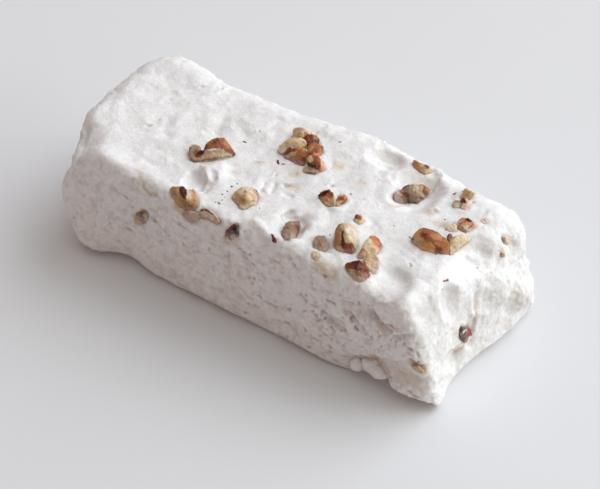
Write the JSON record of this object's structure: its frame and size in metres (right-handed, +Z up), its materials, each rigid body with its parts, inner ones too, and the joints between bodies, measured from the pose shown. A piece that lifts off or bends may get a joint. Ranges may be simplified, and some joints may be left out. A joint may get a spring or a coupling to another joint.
{
  "type": "pecan divinity roll",
  "caption": "Short hand-shaped log of white whipped candy set with chopped pecans, rounded at one end and torn at the other, resting on a flat underside.",
  "frame": {"origin": "middle of the log's flat underside, at the centre of the whole thing's bounding box in X and Y", "axes": "+X along the log towards its torn end, +Y across it towards the side that the picture hides, +Z up"},
  "size_m": [0.1028, 0.0458, 0.0319],
  "materials": {
    "candy": "matte",
    "skin": "satin",
    "dark": "gloss",
    "tan": "satin",
    "yellow": "satin",
    "cream": "satin",
    "grey": "matte"
  },
  "bodies": {
    "root": {"divinity_log": "candy", "pecan_01": "skin", "pecan_02": "cream", "pecan_03": "tan", "pecan_04": "skin", "pecan_05": "skin", "pecan_06": "yellow", "pecan_07": "tan", "pecan_08": "cream", "pecan_09": "skin", "pecan_10": "tan", "pecan_11": "grey", "pecan_12": "tan", "pecan_13": "cream", "pecan_14": "skin", "pecan_15": "cream", "pecan_16": "skin", "pecan_17": "tan", "pecan_18": "tan", "pecan_19": "skin", "pecan_20": "cream", "pecan_21": "grey", "pecan_22": "grey", "pecan_23": "skin", "pecan_24": "dark", "pecan_25": "skin", "pecan_26": "tan", "pecan_27": "skin", "pecan_28": "cream", "pecan_29": "skin", "pecan_30": "cream"}
  },
  "joints": []
}
